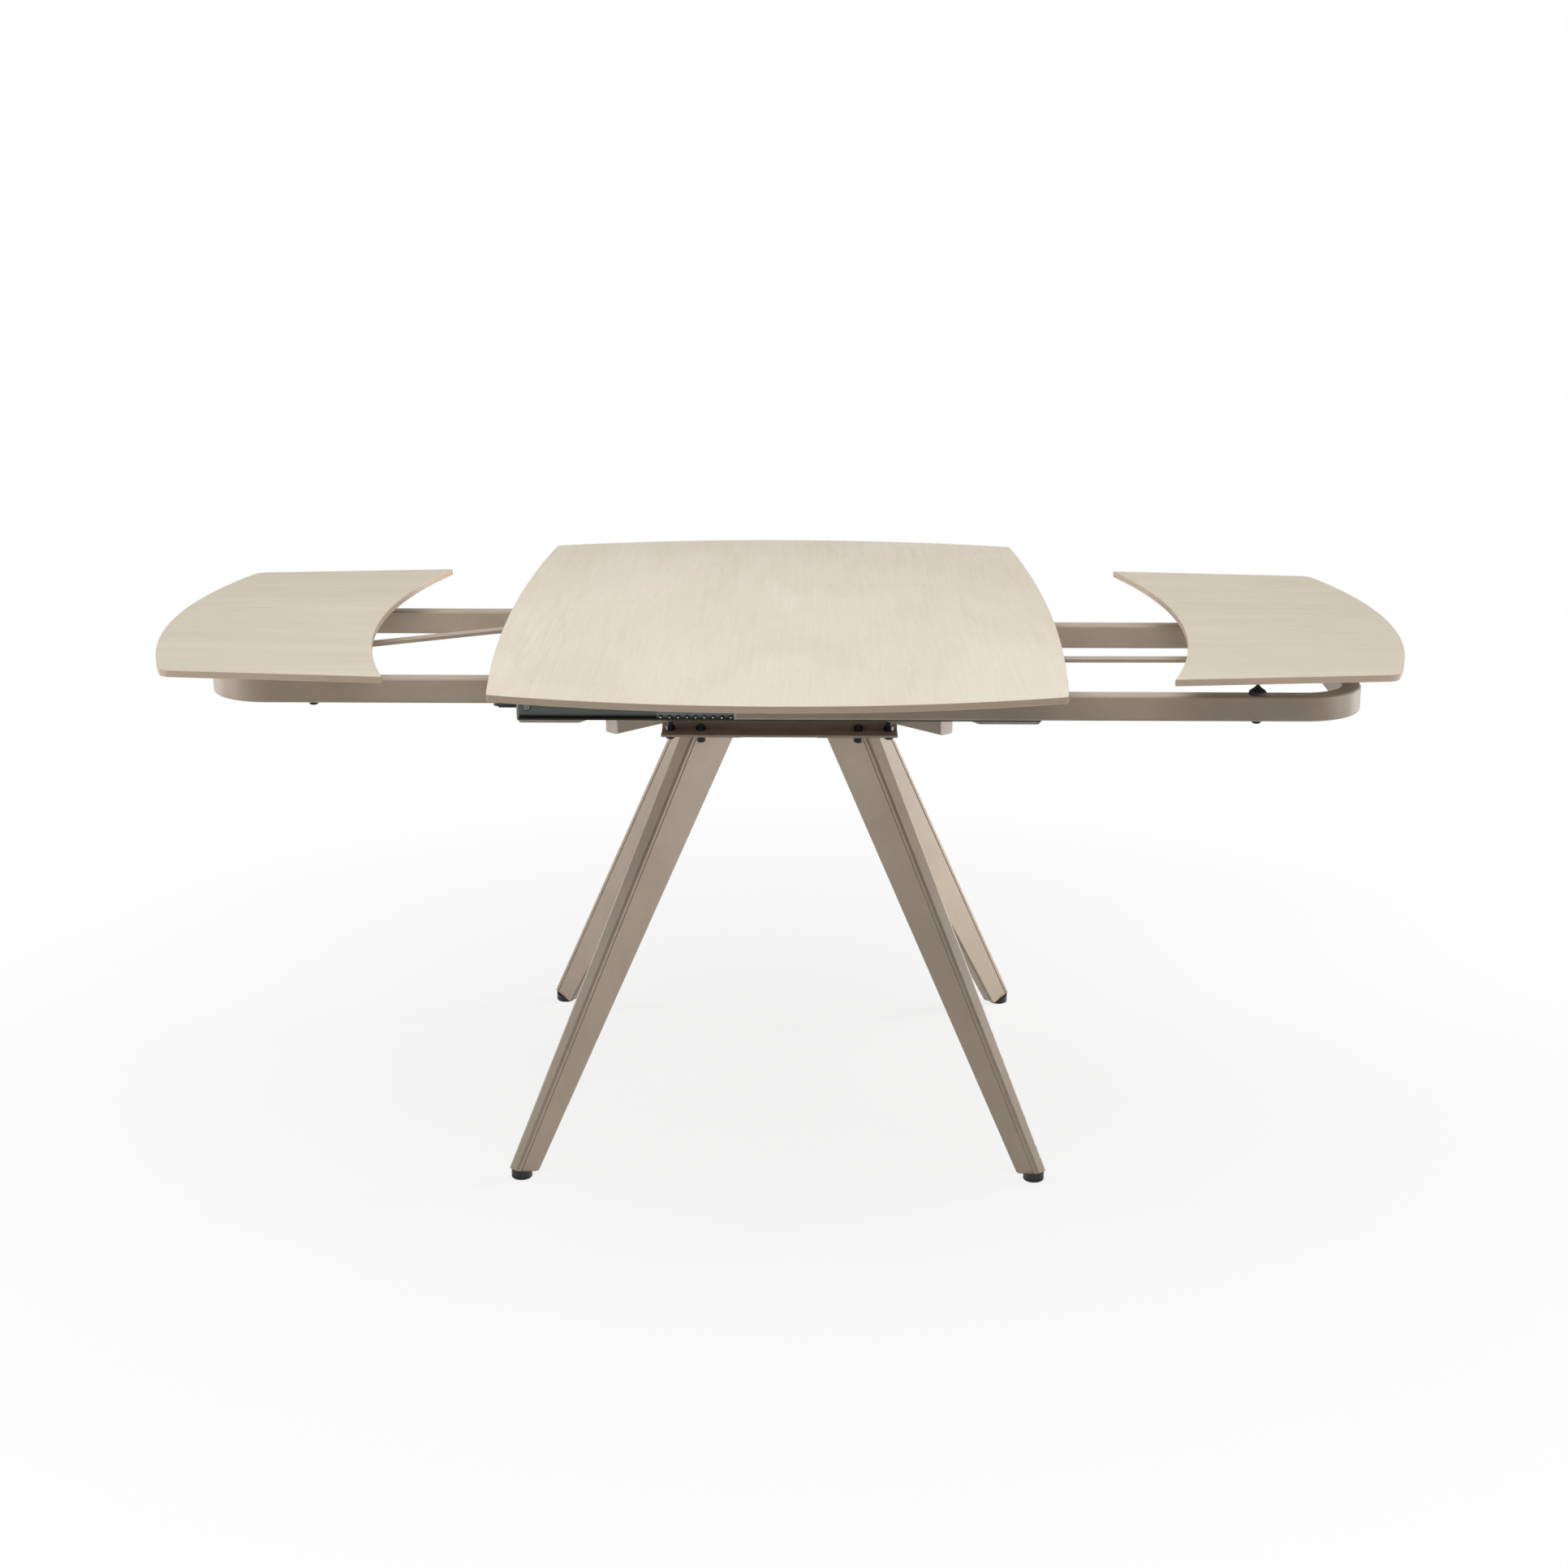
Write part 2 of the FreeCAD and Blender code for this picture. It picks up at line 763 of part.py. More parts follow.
# Link: a flat bar with a level eye at each end, rising from the end bar's bracket to the crank. It is
# drawn along X from its outer pivot, then swung to point at its crank pin.
def make_link(side, angle):
    run = link_pivot - crank_corner
    length = root(run * run + crank_corner * crank_corner)
    name = f"{side}_link"
    half = d.link_width / 2
    plan = [
        (0, -half),
        (length, -half, half, 1),
        (length + half, 0, half, 1),
        (length, half),
        (0, half, half, 1),
        (-half, 0, half, 1),
    ]
    floor = link_under - margin
    ceiling = link_inner_top + margin
    body = pad_body(name + "_bar", "XY_Plane", [plan], floor, ceiling - floor)
    outside = d.link_width
    knees = [
        (-outside, link_outer_top),
        (d.link_eye_length, link_outer_top),
        (length - d.link_eye_length, link_inner_top),
        (length + outside, link_inner_top),
    ]
    above = knees + [(length + outside, ceiling + margin), (-outside, ceiling + margin)]
    lowered = [(x, height - d.link_thickness) for x, height in knees]
    below = lowered + [(length + outside, floor - margin), (-outside, floor - margin)]
    cross_pocket(body, name + "_above", [above])
    cross_pocket(body, name + "_below", [below])
    outer_hole = rod(d.link_pin_radius + d.pin_gap, floor, ceiling)
    inner_hole = rod(d.crank_pin_radius + d.running_gap, floor, ceiling, length)
    swing = math.degrees(math.atan2(-crank_corner.value, -run.value))
    bar = cut(body, outer_hole, inner_hole)
    pivot = Placement(Vector(link_pivot.value, 0, 0), Rotation(Vector(0, 0, 1), swing))
    bar.Placement = Placement(Vector(), Rotation(Vector(0, 0, 1), angle)) * pivot
    keep(name, bar)


# Crank: a cross of flat bars and a disc screwed under the top, with a pin at both ends of one bar
def crank_arm(angle):
    half = d.crank_arm_width / 2
    bar = block((-d.crank_pin_offset, -half, crank_low), (d.crank_pin_offset, half, top_under))
    ends = [rod(half, crank_low, top_under, x) for x in (-d.crank_pin_offset, d.crank_pin_offset)]
    return turned_by(fuse(bar, *ends), angle)


def make_crank():
    arms = [crank_arm(-EIGHTH_TURN), crank_arm(EIGHTH_TURN)]
    disc = rod(d.crank_disc_radius, crank_low, top_under)
    plate = fuse(disc, *arms)
    screw_near = (d.crank_disc_radius + d.screw_inset) / math.sqrt(2)
    places = [(crank_corner, crank_corner), (-crank_corner, -crank_corner)]
    places += [(x, y) for x in (screw_near, -screw_near) for y in (screw_near, -screw_near)]
    hole = d.screw_radius + d.hole_gap
    holes = [rod(hole, crank_low - margin, top_under + margin, x, y) for x, y in places]
    keep("crank_plate", cut(plate, *holes))
    pins = []
    for sign in (1, -1):
        collar_low = crank_low - d.crank_collar_height
        tip = crank_low - d.crank_pin_length
        outline = [
            (0, tip),
            (d.crank_pin_radius, tip),
            (d.crank_pin_radius, collar_low),
            (d.crank_collar_radius, collar_low),
            (d.crank_collar_radius, crank_low),
            (0, crank_low),
        ]
        pins.append(spin("crank_pin", outline, crank_corner * sign, crank_corner * -sign))
    keep("crank_pins", group(*pins))
    head_low = crank_low - d.screw_head_height
    screw = [
        (0, head_low),
        (d.screw_head_radius, head_low),
        (d.screw_head_radius, crank_low),
        (d.screw_radius, crank_low),
        (d.screw_radius, top_under),
        (0, top_under),
    ]
    keep("crank_screws", group(*[spin("crank_screw", screw, x, y) for x, y in places]))


# Turntable: pedestal on the crossed arms, lower race, caged balls and upper race
def make_turntable():
    head = pedestal_head
    bore = d.pedestal_tube_radius - d.pedestal_wall
    foot_top = beam_low + d.pedestal_flange
    head_low = head - d.pedestal_flange
    outline = [
        (bore, beam_low),
        (d.pedestal_base_radius, beam_low),
        (d.pedestal_base_radius, foot_top),
        (d.pedestal_tube_radius, foot_top),
        (d.pedestal_tube_radius, head_low),
        (d.pedestal_head_radius, head_low),
        (d.pedestal_head_radius, head),
        (bore, head),
    ]
    keep("turntable_pedestal", spin("pedestal", outline))
    groove = d.ball_radius + d.running_gap
    ring = d.ball_circle_radius
    reach = root(groove * groove - d.race_gap * d.race_gap / 4)
    lower = [
        (d.race_inner_radius, head),
        (d.race_outer_radius, head),
        (d.race_outer_radius, lower_race_top),
        (ring + reach, lower_race_top, groove, -1),
        (ring - reach, lower_race_top),
        (d.race_inner_radius, lower_race_top),
    ]
    keep("turntable_lower_race", spin("lower_race", lower))
    upper = [
        (d.race_inner_radius, upper_race_low),
        (ring - reach, upper_race_low, groove, -1),
        (ring + reach, upper_race_low),
        (d.race_outer_radius, upper_race_low),
        (d.race_outer_radius, crank_low),
        (d.race_inner_radius, crank_low),
    ]
    keep("turntable_upper_race", spin("upper_race", upper))
    half_cage = d.cage_ring_height / 2
    cage_low = ball_plane - half_cage
    cage_high = ball_plane + half_cage
    bore = rod(d.cage_ring_inner, cage_low - margin, cage_high + margin)
    band = cut(rod(d.cage_ring_outer, cage_low, cage_high), bore)
    pockets = []
    balls = []
    count = round(d.ball_count.value)
    for i in range(count):
        turn = 2 * math.pi * i / count
        x = d.ball_circle_radius * math.cos(turn)
        y = d.ball_circle_radius * math.sin(turn)
        pockets.append(rod(d.ball_radius + d.hole_gap / 2, cage_low - margin, cage_high + margin, x, y))
        ball = doc.addObject("Part::Sphere", "ball")
        bind(ball, "Radius", d.ball_radius)
        for axis, place in zip("xyz", (x, y, ball_plane)):
            bind(ball, f"Placement.Base.{axis}", place)
        balls.append(ball)
    keep("turntable_ball_cage", cut(band, *pockets))
    keep("turntable_balls", group(*balls))


# Nylon glides on the beams, just under the top
def make_glides():
    foot_top = beam_top + d.glide_foot_height
    crown = top_under - d.running_gap
    cap_low = crown - d.glide_cap_height
    outline = [
        (0, beam_top),
        (d.glide_foot_radius, beam_top),
        (d.glide_foot_radius, foot_top),
        (d.glide_post_radius, foot_top),
        (d.glide_post_radius, cap_low),
        (d.glide_cap_radius, cap_low),
        (d.glide_cap_radius, crown),
        (0, crown),
    ]
    places = [(d.glide_reach * sx, beam_centre * sy) for sx in (1, -1) for sy in (1, -1)]
    keep("top_glides", group(*[spin("glide", outline, x, y) for x, y in places]))


# Fixed beams: box sections with a shoe on each end that drops below the beam and tapers inwards
def make_beams():
    middle = beam_low + d.beam_height / 2
    section = tube_section(-beam_centre, middle, beam_width, d.beam_height, d.beam_edge_radius, d.beam_wall)
    for name, angle in (("front_beam", 0), ("rear_beam", HALF_TURN)):
        body = pad_body(name, "YZ_Plane", section, -d.slide_half_length, d.slide_half_length * 2)
        keep(name, body, angle)
    end = d.slide_half_length + d.shoe_end
    sole = beam_low - d.shoe_drop
    shoe = [
        (d.slide_half_length - d.shoe_length, beam_low),
        (d.slide_half_length - d.shoe_length + d.shoe_taper, sole),
        (end - d.shoe_corner, sole),
        (end, sole + d.shoe_corner),
        (end, beam_top),
        (d.slide_half_length, beam_top),
        (d.slide_half_length, beam_low),
    ]
    mirrored = [(-x, z) for x, z in reversed(shoe)]
    shoes = []
    for centre in (beam_centre, -beam_centre):
        for outline in (shoe, mirrored):
            shoes.append(
                pad_body("beam_shoe", "XZ_Plane", [outline], -centre - beam_width / 2, beam_width)
            )
    keep("beam_end_shoes", group(*shoes))


# Diagonal arms: one through, two butted to its sides, all closed by end caps
def make_arms():
    size = (size_of(0), arm_low + d.arm_height / 2, d.arm_width, d.arm_height, d.arm_edge_radius)
    section = tube_section(*size, d.arm_wall)
    through = pad_body("cross_arm_long", "YZ_Plane", section, -d.arm_reach, d.arm_reach * 2)
    keep("cross_arm_long", through, EIGHTH_TURN)
    butt = d.arm_width / 2
    for name, quarter in (("cross_arm_rear_left", 1), ("cross_arm_front_right", -1)):
        half = pad_body(name, "YZ_Plane", section, butt, d.arm_reach - butt)
        keep(name, half, EIGHTH_TURN + quarter * QUARTER_TURN)
    neck = tube_outline(*size, d.arm_wall + d.hole_gap)
    caps = []
    for quarter in range(4):
        face = pad_body("arm_cap_face", "YZ_Plane", [section[0]], d.arm_reach, d.arm_cap)
        stem = pad_body("arm_cap_stem", "YZ_Plane", [neck], d.arm_reach - d.arm_cap_depth, d.arm_cap_depth)
        caps.append(turned_by(fuse(face, stem), EIGHTH_TURN + quarter * QUARTER_TURN))
    keep("cross_arm_caps", group(*caps))


# Angle bars under the arms, open to the outside, with the bolts of the arms and the legs
bolt_places = [(sx, sy) for sx in (1, -1) for sy in (1, -1)]


def make_channels():
    front = -d.channel_front
    back = front + d.channel_depth
    floor_top = channel_low + d.channel_wall
    outline = [
        (front, channel_low),
        (back, channel_low),
        (back, arm_low),
        (back - d.channel_wall, arm_low),
        (back - d.channel_wall, floor_top),
        (front, floor_top),
    ]
    for name, angle in (("front_channel", 0), ("rear_channel", HALF_TURN)):
        bar = pad_body(name, "YZ_Plane", [outline], -d.channel_half_length, d.channel_half_length * 2)
        holes = []
        for reach in (d.leg_bolt_reach, d.arm_bolt_reach):
            for sign in (1, -1):
                place = (reach * sign, -d.channel_bolt_offset)
                holes.append(rod(d.bolt_radius + d.hole_gap, channel_low - margin, floor_top + margin, *place))
        keep(name, cut(bar, *holes), angle)


def make_bolt(name, seat, tip, x, y):
    washer_low = seat - d.washer_height
    head_low = washer_low - d.bolt_head_height
    outline = [
        (0, head_low),
        (d.bolt_head_radius - d.bolt_head_bevel, head_low),
        (d.bolt_head_radius, head_low + d.bolt_head_bevel),
        (d.bolt_head_radius, washer_low),
        (d.washer_radius, washer_low),
        (d.washer_radius, seat),
        (d.bolt_radius, seat),
        (d.bolt_radius, tip),
        (0, tip),
    ]
    nut_low = channel_low + d.channel_wall
    nut = hexagon(d.bolt_nut_radius, nut_low, nut_low + d.bolt_nut_height, x, y)
    socket = hexagon(d.bolt_socket_radius, head_low - margin, head_low + d.bolt_socket_depth, x, y)
    return cut(fuse(spin(name, outline, x, y), nut), socket)


def make_bolts():
    leg_tip = channel_low + d.channel_wall + d.bolt_nut_height + d.bolt_tail
    for name, seat, tip, reach in (
        ("leg_bolts", leg_head, leg_tip, d.leg_bolt_reach),
        ("arm_bolts", channel_low, arm_low, d.arm_bolt_reach),
    ):
        bolts = [make_bolt(name, seat, tip, reach * sx, d.channel_bolt_offset * sy) for sx, sy in bolt_places]
        keep(name, group(*bolts))


# Legs: tapered boxes of folded sheet that lean out along the diagonals, under welded head plates
def leg_section(height, shy):
    share = height / leg_head
    offset = d.leg_floor_offset + (d.leg_head_offset - d.leg_floor_offset) * share
    width = d.leg_floor_width + (d.leg_head_width - d.leg_floor_width) * share
    thickness = d.leg_floor_thickness + (d.leg_head_thickness - d.leg_floor_thickness) * share
    return tube_outline(offset, size_of(0), width, thickness, d.leg_edge_radius, shy)


# The outside of a leg has a shallow seam down each broad side, near its outer edge
def seamed(outline):
    outer = outline[2][0]
    start = outer - d.leg_seam_offset
    middle = start - d.leg_seam_width / 2
    end = start - d.leg_seam_width
    low = outline[0][1]
    high = outline[4][1]
    near_seam = [(end, low), (middle, low + d.leg_seam_depth), (start, low)]
    far_seam = [(start, high), (middle, high - d.leg_seam_depth), (end, high)]
    return outline[:1] + near_seam + outline[1:5] + far_seam + outline[5:]


def loft(body, kind, name, low, high, shy, trim=None):
    sections = []
    for tag, height in (("low", size_of(low)), ("high", high)):
        outline = leg_section(height, shy)
        if trim:
            outline = trim(outline)
        sections.append(draw(body, f"{name}_{tag}", "XY_Plane", [outline], height))
    doc.recompute()
    feature = body.newObject(f"PartDesign::{kind}", name)
    feature.Profile = sections[0]
    feature.Sections = [sections[1]]
    feature.Ruled = True


def signed_span(near, far, sign):
    return (near, far) if sign > 0 else (-far, -near)


def make_legs():
    inner_floor = d.leg_floor_offset - d.leg_floor_width / 2
    inner_head = d.leg_head_offset - d.leg_head_width / 2
    lean = (inner_head - inner_floor) / leg_head
    slope = d.foot_slope
    heel_z = (d.foot_height + (inner_floor - d.foot_offset) * slope) / (1 - lean * slope)
    heel_x = inner_floor + lean * heel_z
    heel_cosine = (lean + slope) / root((slope * slope + 1) * (lean * lean + 1))
    tangent = d.leg_heel_radius * root((1 + heel_cosine) / (1 - heel_cosine))
    along_cut = tangent / root(slope * slope + 1)
    along_edge = tangent / root(lean * lean + 1)
    outside = d.foot_offset + d.leg_floor_width
    toe_z = d.foot_height + (outside - d.foot_offset) * slope
    below = -d.leg_floor_width
    heel_top = heel_z + along_edge
    waste = [
        (outside, toe_z),
        (heel_x + along_cut, heel_z + along_cut * slope, d.leg_heel_radius, -1),
        (heel_x + along_edge * lean, heel_top),
        (heel_x - d.leg_floor_width, heel_top),
        (heel_x - d.leg_floor_width, below),
        (outside, below),
    ]
    for place, angle in LEGS.items():
        name = f"leg_{place}"
        body = doc.addObject("PartDesign::Body", name)
        loft(body, "AdditiveLoft", name + "_outside", 0, leg_head, size_of(0), seamed)
        loft(body, "SubtractiveLoft", name + "_hollow", d.leg_plug_height, leg_head, d.leg_wall)
        cross_pocket(body, name + "_sole", [waste])
        keep(name, body, angle)
    plates = []
    for sx, sy in bolt_places:
        x_low, x_high = signed_span(d.leg_plate_inner, d.leg_plate_reach, sx)
        y_low, y_high = signed_span(d.leg_plate_inner, d.leg_plate_front, sy)
        sheet = block((x_low, y_low, leg_head), (x_high, y_high, channel_low))
        bolt = (d.leg_bolt_reach * sx, d.channel_bolt_offset * sy)
        hole = rod(d.bolt_radius + d.hole_gap, leg_head - margin, channel_low + margin, *bolt)
        plates.append(cut(sheet, hole))
    keep("leg_head_plates", group(*plates))


# Feet: round plugs with a slanted top that sits against the slanted foot of the leg
def make_feet():
    rise = d.foot_radius * 2 * d.foot_slope
    high = d.foot_height + rise
    outline = [
        (0, 0),
        (d.foot_radius - d.foot_edge, 0, d.foot_edge, 1),
        (d.foot_radius, d.foot_edge),
        (d.foot_radius, d.foot_groove_height),
        (d.foot_radius - d.foot_groove_depth, d.foot_groove_height),
        (d.foot_radius - d.foot_groove_depth, d.foot_groove_height + d.foot_groove_width),
        (d.foot_radius, d.foot_groove_height + d.foot_groove_width),
        (d.foot_radius, high),
        (0, high),
    ]
    waste = [
        (d.foot_radius * -2, d.foot_height - rise),
        (d.foot_radius * 2, high),
        (d.foot_radius * 2, high + rise),
        (d.foot_radius * -2, high + rise),
    ]
    for place, angle in LEGS.items():
        name = f"foot_{place}"
        plug = spin(name + "_plug", outline, d.foot_offset)
        cross_pocket(plug, name + "_slant", [waste])
        keep(name, group(plug), angle)


def check_and_write():
    doc.recompute()
    faults = [o.Name for o in doc.Objects if {"Invalid", "Error"} & set(o.State)]
    faults += [name for name, piece in nodes.items() if piece.Shape.isNull() or not piece.Shape.isValid()]
    if faults:
        raise RuntimeError(f"these pieces failed: {faults}")
    os.makedirs("parts", exist_ok=True)
    for name, piece in nodes.items():
        piece.Shape.exportStep(f"parts/{name}.step")
    print(len(nodes), "nodes written")


make_top()
for side, angle in SIDES.items():
    make_leaf(side, angle)
    make_frame_tube(side, angle)
    make_tube_plugs(side, angle)
    make_rail_stops(side, angle)
    make_supports(side, angle)
    make_slides(side, angle)
    make_link_bracket(side, angle)
    make_link(side, angle)
make_crank()
make_turntable()
make_glides()
make_beams()
make_arms()
make_channels()
make_bolts()
make_legs()
make_feet()
check_and_write()
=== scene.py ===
import json
import math

import bmesh
import bpy
from mathutils import Matrix, Vector


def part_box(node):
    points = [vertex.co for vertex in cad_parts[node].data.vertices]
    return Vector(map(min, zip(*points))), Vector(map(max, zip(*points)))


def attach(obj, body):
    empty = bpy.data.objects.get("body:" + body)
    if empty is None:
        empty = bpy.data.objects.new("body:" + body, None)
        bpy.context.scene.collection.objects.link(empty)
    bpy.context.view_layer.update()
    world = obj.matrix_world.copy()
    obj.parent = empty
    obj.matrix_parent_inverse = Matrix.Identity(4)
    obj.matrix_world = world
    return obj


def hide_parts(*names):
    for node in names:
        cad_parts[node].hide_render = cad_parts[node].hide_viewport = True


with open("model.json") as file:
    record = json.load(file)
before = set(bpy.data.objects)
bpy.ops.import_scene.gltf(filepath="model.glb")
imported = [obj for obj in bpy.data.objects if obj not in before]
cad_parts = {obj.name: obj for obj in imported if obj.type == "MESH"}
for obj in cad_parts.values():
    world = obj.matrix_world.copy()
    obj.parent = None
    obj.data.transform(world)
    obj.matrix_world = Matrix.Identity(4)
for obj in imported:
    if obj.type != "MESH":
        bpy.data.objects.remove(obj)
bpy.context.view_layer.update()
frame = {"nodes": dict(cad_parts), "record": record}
nodes = frame["nodes"]
scene = bpy.context.scene
scene.view_settings.view_transform = "Standard"

# Colours as they look on the object, as 8-bit red, green and blue
TOP_LIGHT = (236, 226, 209)
TOP_DARK = (219, 205, 182)
LEAF_LIGHT = (225, 214, 194)
LEAF_DARK = (209, 197, 175)
BOARD_EDGE = (220, 198, 175)
BOARD_UNDER = (196, 187, 174)
PAINT = (173, 157, 139)
PAINT_SHADE = (166, 150, 132)
# Lighter copy of the paint for the arm end caps: painted light, standing for the lamps lighting their end
# faces
CAP_LIT_PAINT = (206, 193, 177)
CAP_LIT_PAINT_SHADE = (200, 187, 171)
ZINC = (112, 116, 112)
# Darker copy of the zinc for the slides: painted shade under the top
SLIDE_STEEL_IN_SHADE = (92, 97, 93)
# Dark band in the ball races: partly grease, partly painted shade
GREASE_AND_SHADE = (46, 45, 38)
BALL = (214, 214, 212)
BLACK = (15, 15, 15)
BOLT = (22, 21, 20)
PALE = (205, 197, 184)
WHITE = (1.0, 1.0, 1.0, 1.0)
FLOOR_GREY = (0.95, 0.95, 0.95, 1.0)

# The curve between written colours and linear light
CURVE_KNEE = 0.04045
CURVE_SLOPE = 12.92
CURVE_OFFSET = 0.055
CURVE_POWER = 2.4


def linear(colour, share=1.0):
    def channel(value):
        level = value * share / 255
        if level <= CURVE_KNEE:
            return level / CURVE_SLOPE
        return ((level + CURVE_OFFSET) / (1 + CURVE_OFFSET)) ** CURVE_POWER

    return tuple(channel(v) for v in colour) + (1.0,)


# Usual spreads of a noise value, and the whole range
WIDE = (0.3, 0.7)
NARROW = (0.35, 0.65)
WHOLE = (0.0, 1.0)


def even(scale):
    return (scale, scale, scale)


# Shader nodes of a material or of the world
class Tree:
    def __init__(self, tree):
        self.tree = tree

    def add(self, kind, **settings):
        node = self.tree.nodes.new(kind)
        for key, value in settings.items():
            setattr(node, key, value)
        return node

    def link(self, output, target):
        self.tree.links.new(output, target)

    def feed(self, target, value):
        if isinstance(value, bpy.types.NodeSocket):
            self.link(value, target)
        else:
            target.default_value = value

    def place(self, scale):
        where = self.add("ShaderNodeTexCoord")
        spread = self.add("ShaderNodeMapping")
        spread.inputs["Scale"].default_value = scale
        self.link(where.outputs["Object"], spread.inputs["Vector"])
        return spread.outputs["Vector"]

    def noise(self, scale, detail=2.0, roughness=0.5, distortion=0.0):
        cloud = self.add("ShaderNodeTexNoise")
        cloud.inputs["Scale"].default_value = 1.0
        cloud.inputs["Detail"].default_value = detail
        cloud.inputs["Roughness"].default_value = roughness
        cloud.inputs["Distortion"].default_value = distortion
        self.link(self.place(scale), cloud.inputs["Vector"])
        return cloud.outputs["Fac"]

    def remap(self, value, span, to):
        stretch = self.add("ShaderNodeMapRange")
        self.feed(stretch.inputs["Value"], value)
        for key, amount in zip(("From Min", "From Max", "To Min", "To Max"), span + to):
            stretch.inputs[key].default_value = amount
        return stretch.outputs["Result"]

    def maths(self, kind, first, second=0.0):
        step = self.add("ShaderNodeMath", operation=kind)
        self.feed(step.inputs[0], first)
        self.feed(step.inputs[1], second)
        return step.outputs["Value"]

    def mix(self, amount, first, second):
        blend = self.add("ShaderNodeMix", data_type="RGBA")
        self.feed(blend.inputs["Factor"], amount)
        self.feed(blend.inputs["A"], first)
        self.feed(blend.inputs["B"], second)
        return blend.outputs["Result"]

    def seen_directly(self):
        rays = self.add("ShaderNodeLightPath").outputs
        seen = self.maths("MAXIMUM", rays["Is Camera Ray"], rays["Is Glossy Ray"])
        return self.maths("MAXIMUM", seen, rays["Is Transmission Ray"])


class Surface(Tree):
    def __init__(self, name):
        self.material = bpy.data.materials.new(name)
        self.material.use_nodes = True
        super().__init__(self.material.node_tree)
        self.shader = self.tree.nodes["Principled BSDF"]

    def set(self, **values):
        for key, value in values.items():
            self.feed(self.shader.inputs[key.replace("_", " ")], value)

    def bump(self, height, distance):
        relief = self.add("ShaderNodeBump")
        relief.inputs["Strength"].default_value = 1.0
        relief.inputs["Distance"].default_value = distance
        self.link(height, relief.inputs["Height"])
        self.link(relief.outputs["Normal"], self.shader.inputs["Normal"])


# Bleached-oak laminate: soft clouds, long fine streaks, a few wandering veins and short pores that follow
# the grain. The edge band and the plain underside show where the face turns away from level.
BOARD_SHEEN = 0.3
BOARD_ROUGHNESS = (0.44, 0.56)
BOARD_RELIEF = 0.00012
CLOUD_SHARE = 0.5
VEIN_HALF_WIDTH = 0.03
VEIN_PATCHES = (0.45, 0.65)
PORE_SPAN = (0.58, 0.74)
PORE_SHARE = 0.13
PORE_SHADE = 0.78
PORE_DEPTH = 4.0
EDGE_SHADE = 0.96
UNDER_SHADE = 0.95
LEVEL_FROM = 0.75
LEVEL_TO = 0.86


def board(name, light, dark, along, streaks, veins):
    s = Surface(name)

    def figure(across, length, **settings):
        scale = (across, length, across) if along == "Y" else (length, across, across)
        return s.noise(scale, **settings)

    cloud = figure(across=7.0, length=2.0, detail=3.0, roughness=0.55, distortion=0.6)
    streak = figure(across=150.0, length=4.0, detail=4.0, roughness=0.62, distortion=0.4)
    patch = figure(across=5.0, length=3.0)
    wander = figure(across=24.0, length=1.1, distortion=0.35)
    pore = figure(across=420.0, length=22.0)

    ridge = s.maths("ABSOLUTE", s.maths("SUBTRACT", wander, 0.5))
    line = s.remap(ridge, (0.0, VEIN_HALF_WIDTH), (veins, 0.0))
    vein = s.maths("MULTIPLY", line, s.remap(patch, VEIN_PATCHES, WHOLE))
    clouds = s.remap(cloud, WIDE, (0.0, CLOUD_SHARE))
    grain = s.maths("ADD", clouds, s.remap(streak, WIDE, (0.0, streaks)))
    grain = s.maths("ADD", grain, vein)
    pores = s.remap(pore, PORE_SPAN, (0.0, PORE_SHARE))
    face = s.mix(grain, linear(light), linear(dark))
    face = s.mix(pores, face, linear(dark, PORE_SHADE))

    band = s.mix(s.noise(even(240.0)), linear(BOARD_EDGE), linear(BOARD_EDGE, EDGE_SHADE))
    under = s.mix(s.noise(even(30.0), detail=3.0), linear(BOARD_UNDER), linear(BOARD_UNDER, UNDER_SHADE))
    normal = s.add("ShaderNodeNewGeometry").outputs["Normal"]
    split = s.add("ShaderNodeSeparateXYZ")
    s.link(normal, split.inputs["Vector"])
    upward = split.outputs["Z"]
    colour = s.mix(s.remap(upward, (LEVEL_FROM, LEVEL_TO), WHOLE), band, face)
    colour = s.mix(s.remap(upward, (-LEVEL_TO, -LEVEL_FROM), (1.0, 0.0)), colour, under)

    s.shader.inputs["Specular IOR Level"].default_value = BOARD_SHEEN
    s.set(Base_Color=colour, Roughness=s.remap(streak, WIDE, BOARD_ROUGHNESS))
    s.bump(s.maths("SUBTRACT", streak, s.maths("MULTIPLY", pores, PORE_DEPTH)), BOARD_RELIEF)
    return s.material


# Satin powder coat: faint mottling and the fine orange peel of the coating
def paint(name, light, shade):
    s = Surface(name)
    mottle = s.noise(even(14.0), detail=4.0, roughness=0.6)
    peel = s.noise(even(620.0))
    s.set(
        Base_Color=s.mix(s.remap(mottle, NARROW, WHOLE), linear(light), linear(shade)),
        Roughness=s.remap(peel, WIDE, (0.38, 0.5)),
    )
    s.bump(peel, distance=0.00006)
    return s.material


# Rolled and zinc-plated steel: streaks along the rolling direction and a cloudy passivated tone
ZINC_SHADE = 0.86
ROLLED_ALONG_X = (6.0, 500.0, 500.0)


def zinc(name):
    s = Surface(name)
    brush = s.noise(ROLLED_ALONG_X, detail=3.0, roughness=0.6)
    cloud = s.noise(even(22.0), detail=3.0, roughness=0.6)
    s.shader.inputs["Metallic"].default_value = 0.85
    s.set(
        Base_Color=s.mix(s.remap(cloud, NARROW, WHOLE), linear(ZINC), linear(ZINC, ZINC_SHADE)),
        Roughness=s.remap(brush, WIDE, (0.3, 0.5)),
    )
    s.bump(brush, distance=0.00004)
    return s.material


# Drawn steel of the slides, a darker copy of the zinc tone that is painted shade under the top; the ball
# races along both edges hold a dark band that is partly grease and partly painted shade
STEEL_SHADE = 0.88
DRAWN_ALONG_X = (5.0, 700.0, 700.0)
RAGGED_ALONG_X = (60.0, 200.0, 200.0)
GREASE_AND_SHADE_WIDTH = 0.0065
GREASE_AND_SHADE_RAGGEDNESS = 0.0012


